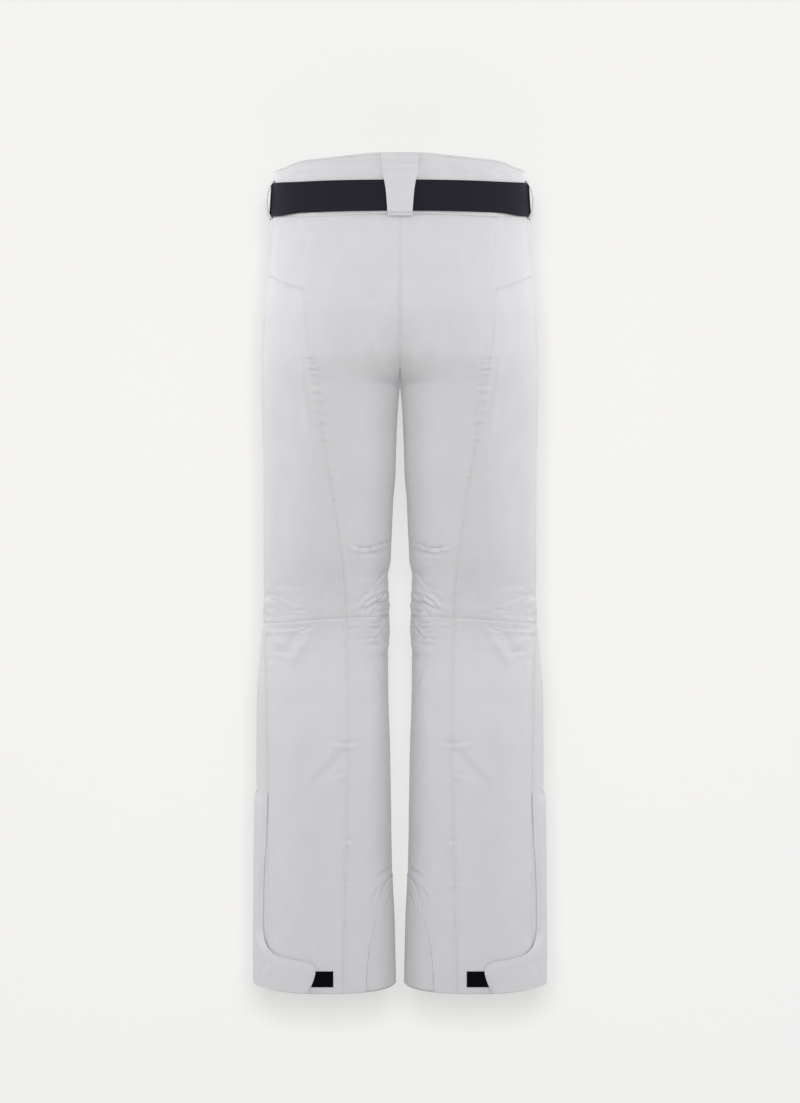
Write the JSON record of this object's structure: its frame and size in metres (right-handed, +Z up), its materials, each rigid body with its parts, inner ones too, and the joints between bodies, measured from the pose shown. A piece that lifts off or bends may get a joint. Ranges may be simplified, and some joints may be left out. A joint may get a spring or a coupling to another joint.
{
  "type": "ski pants",
  "caption": "Long insulated ski pants with a wide elastic belt, panelled seat and legs, side hem zips under a flap with a hook-and-loop tab, and snow cuffs inside the hems.",
  "frame": {"origin": "middle of the waist opening, level with the top edge of the back waistband", "axes": "+Z up, -Y the way the wearer faces, +X the wearer's left"},
  "size_m": [0.379, 0.2289, 1.0591],
  "materials": {
    "shell": "matt woven shell cloth",
    "belt": "ribbed woven elastic",
    "hook_tape": "hook and loop tape",
    "lining": "smooth lining cloth",
    "zip": "woven zip tape",
    "metal": "satin"
  },
  "bodies": {
    "hips": {"waistband_back": "shell", "waistband_left": "shell", "waistband_right": "shell", "waist_underlap": "shell", "snap_cap": "metal", "hanger_loop": "lining", "belt_strap": "belt", "buckle_plate": "metal", "belt_loop_back": "shell", "belt_loop_left": "shell", "belt_loop_right": "shell", "seat_panel_left": "shell", "seat_panel_right": "shell", "side_yoke_left": "shell", "side_yoke_right": "shell", "front_panel_left": "shell", "front_panel_right": "shell", "hip_bend_left": "shell", "hip_bend_right": "shell", "fly_zip": "zip", "pocket_zip_left": "zip", "pocket_zip_right": "zip", "pocket_bag_left": "lining", "pocket_bag_right": "lining"},
    "buckle_latch": {"buckle_latch": "metal"},
    "fly_slider": {"fly_zip_slider": "metal", "fly_zip_pull": "metal"},
    "fly_flap": {"fly_flap": "shell"},
    "left_pocket_slider": {"pocket_zip_slider_left": "metal"},
    "left_pocket_pull": {"pocket_zip_pull_left": "metal"},
    "left_thigh": {"thigh_back_inner_left": "shell", "thigh_back_outer_left": "shell", "thigh_front_left": "shell", "knee_bend_left": "shell"},
    "left_shin": {"calf_inner_left": "shell", "calf_outer_left": "shell", "shin_front_left": "shell", "scuff_guard_left": "shell", "snow_cuff_left": "lining", "hem_zip_left": "zip", "hook_patch_left": "hook_tape"},
    "left_hem_slider": {"hem_zip_slider_left": "metal"},
    "left_hem_flap": {"hem_flap_left": "shell", "loop_patch_left": "hook_tape"},
    "right_pocket_slider": {"pocket_zip_slider_right": "metal"},
    "right_pocket_pull": {"pocket_zip_pull_right": "metal"},
    "right_thigh": {"thigh_back_inner_right": "shell", "thigh_back_outer_right": "shell", "thigh_front_right": "shell", "knee_bend_right": "shell"},
    "right_shin": {"calf_inner_right": "shell", "calf_outer_right": "shell", "shin_front_right": "shell", "scuff_guard_right": "shell", "snow_cuff_right": "lining", "hem_zip_right": "zip", "hook_patch_right": "hook_tape"},
    "right_hem_slider": {"hem_zip_slider_right": "metal"},
    "right_hem_flap": {"hem_flap_right": "shell", "loop_patch_right": "hook_tape"}
  },
  "joints": [
    {"name": "buckle_open", "type": "hinge", "parent": "hips", "child": "buckle_latch", "pos_m": [-0.027, -0.1029, -0.07], "axis": [0, 0, -1], "range_deg": [0, 100]},
    {"name": "fly_zip_slide", "type": "slide", "parent": "hips", "child": "fly_slider", "axis": [0, 0, -1], "range_m": [0, 0.08]},
    {"name": "fly_flap_open", "type": "hinge", "parent": "hips", "child": "fly_flap", "pos_m": [0.027, -0.1045, -0.1575], "axis": [0, 0, 1], "range_deg": [0, 110]},
    {"name": "left_hip", "type": "hinge", "parent": "hips", "child": "left_thigh", "pos_m": [0.09, 0.0022, -0.29], "axis": [-1, 0, 0], "range_deg": [-15, 75], "deforming": ["hip_bend_left"]},
    {"name": "left_knee", "type": "hinge", "parent": "left_thigh", "child": "left_shin", "pos_m": [0.098, 0.0048, -0.612], "axis": [1, 0, 0], "range_deg": [0, 90], "deforming": ["knee_bend_left"]},
    {"name": "left_pocket_zip_slide", "type": "slide", "parent": "hips", "child": "left_pocket_slider", "axis": [0.5292, 0.2329, -0.8159], "range_m": [0, 0.085]},
    {"name": "left_pocket_pull_lift", "type": "hinge", "parent": "left_pocket_slider", "child": "left_pocket_pull", "pos_m": [0.10573, -0.08751, -0.11612], "axis": [-0.631, -0.5348, -0.5619], "range_deg": [0, 150]},
    {"name": "left_hem_zip_slide", "type": "slide", "parent": "left_shin", "child": "left_hem_slider", "axis": [0.0018, -0.0008, 1], "range_m": [0, 0.19]},
    {"name": "left_hem_flap_open", "type": "hinge", "parent": "left_shin", "child": "left_hem_flap", "pos_m": [0.1885, -0.021, -0.93], "axis": [0, 0, -1], "range_deg": [0, 120]},
    {"name": "right_hip", "type": "hinge", "parent": "hips", "child": "right_thigh", "pos_m": [-0.09, 0.0022, -0.29], "axis": [-1, 0, 0], "range_deg": [-15, 75], "deforming": ["hip_bend_right"]},
    {"name": "right_knee", "type": "hinge", "parent": "right_thigh", "child": "right_shin", "pos_m": [-0.098, 0.0048, -0.612], "axis": [1, 0, 0], "range_deg": [0, 90], "deforming": ["knee_bend_right"]},
    {"name": "right_pocket_zip_slide", "type": "slide", "parent": "hips", "child": "right_pocket_slider", "axis": [-0.5292, 0.2329, -0.8159], "range_m": [0, 0.085]},
    {"name": "right_pocket_pull_lift", "type": "hinge", "parent": "right_pocket_slider", "child": "right_pocket_pull", "pos_m": [-0.10573, -0.08751, -0.11612], "axis": [-0.631, 0.5348, 0.5619], "range_deg": [0, 150]},
    {"name": "right_hem_zip_slide", "type": "slide", "parent": "right_shin", "child": "right_hem_slider", "axis": [-0.0018, -0.0008, 1], "range_m": [0, 0.19]},
    {"name": "right_hem_flap_open", "type": "hinge", "parent": "right_shin", "child": "right_hem_flap", "pos_m": [-0.1885, -0.021, -0.93], "axis": [0, 0, 1], "range_deg": [0, 120]}
  ]
}
